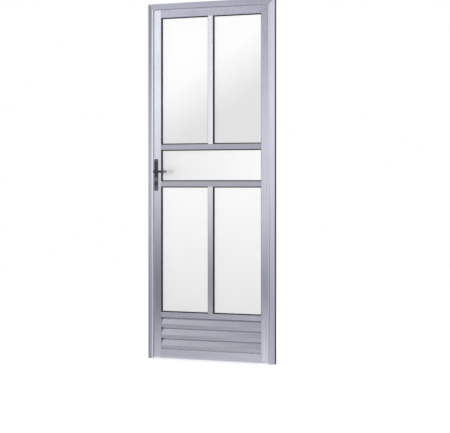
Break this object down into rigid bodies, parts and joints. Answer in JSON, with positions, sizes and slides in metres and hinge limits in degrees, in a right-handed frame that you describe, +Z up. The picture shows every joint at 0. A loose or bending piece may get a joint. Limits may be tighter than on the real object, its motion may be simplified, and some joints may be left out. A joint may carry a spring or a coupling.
{
  "type": "aluminium swing door",
  "caption": "Aluminium door frame with a side-hung leaf of glass panes over a louvre panel, with lever handles on both faces.",
  "frame": {"origin": "foot of the hinge jamb, on the flat face that stands against the wall, at half the frame's depth", "axes": "+Z up, -X across the doorway to the latch jamb, -Y towards the outer face shown in the picture, +Y towards the side the leaf opens to"},
  "size_m": [0.8, 0.132, 2.1],
  "materials": {
    "frame": "bright polished and anodised",
    "leaf": "bright polished and anodised",
    "bead": "bright anodised",
    "slat": "satin anodised",
    "glass": "finely patterned cast glass",
    "gasket": "matt black",
    "handle": "dark grey powder coat",
    "steel": "brushed",
    "hinge": "satin anodised",
    "cylinder": "dark bronze-toned brass"
  },
  "bodies": {
    "frame": {"latch_jamb": "frame", "hinge_jamb": "frame", "frame_head": "frame", "stop_seals": "gasket", "strike_plate": "steel", "frame_hinge_leaves": "hinge", "hinge_pins": "hinge"},
    "leaf": {"latch_stile": "leaf", "hinge_stile": "leaf", "top_rail": "leaf", "upper_cross_rail": "leaf", "lower_cross_rail": "leaf", "louvre_head_rail": "leaf", "bottom_rail": "leaf", "upper_mullion": "leaf", "lower_mullion": "leaf", "upper_glazing_beads": "bead", "middle_glazing_beads": "bead", "lower_glazing_beads": "bead", "louvre_channels": "bead", "top_slat": "slat", "middle_slat": "slat", "bottom_slat": "slat", "upper_left_pane": "glass", "upper_right_pane": "glass", "middle_pane": "glass", "lower_left_pane": "glass", "lower_right_pane": "glass", "front_gaskets": "gasket", "back_gaskets": "gasket", "outer_handle_plate": "handle", "inner_handle_plate": "handle", "mortise_lock": "steel", "door_hinge_leaves": "hinge", "key_cylinder": "cylinder"},
    "lever_set": {"outer_lever": "handle", "inner_lever": "handle", "spindle": "steel"}
  },
  "joints": [
    {"name": "door_swing", "type": "hinge", "parent": "frame", "child": "leaf", "pos_m": [-0.0255, 0.021, 1.05], "axis": [0, 0, -1], "range_deg": [0, 100]},
    {"name": "lever_turn", "type": "hinge", "parent": "leaf", "child": "lever_set", "pos_m": [-0.7475, 0.0025, 1.107], "axis": [0, 1, 0], "range_deg": [0, 45], "stiffness_Nm_per_rad": 1.2, "springref_deg": -20.05}
  ]
}
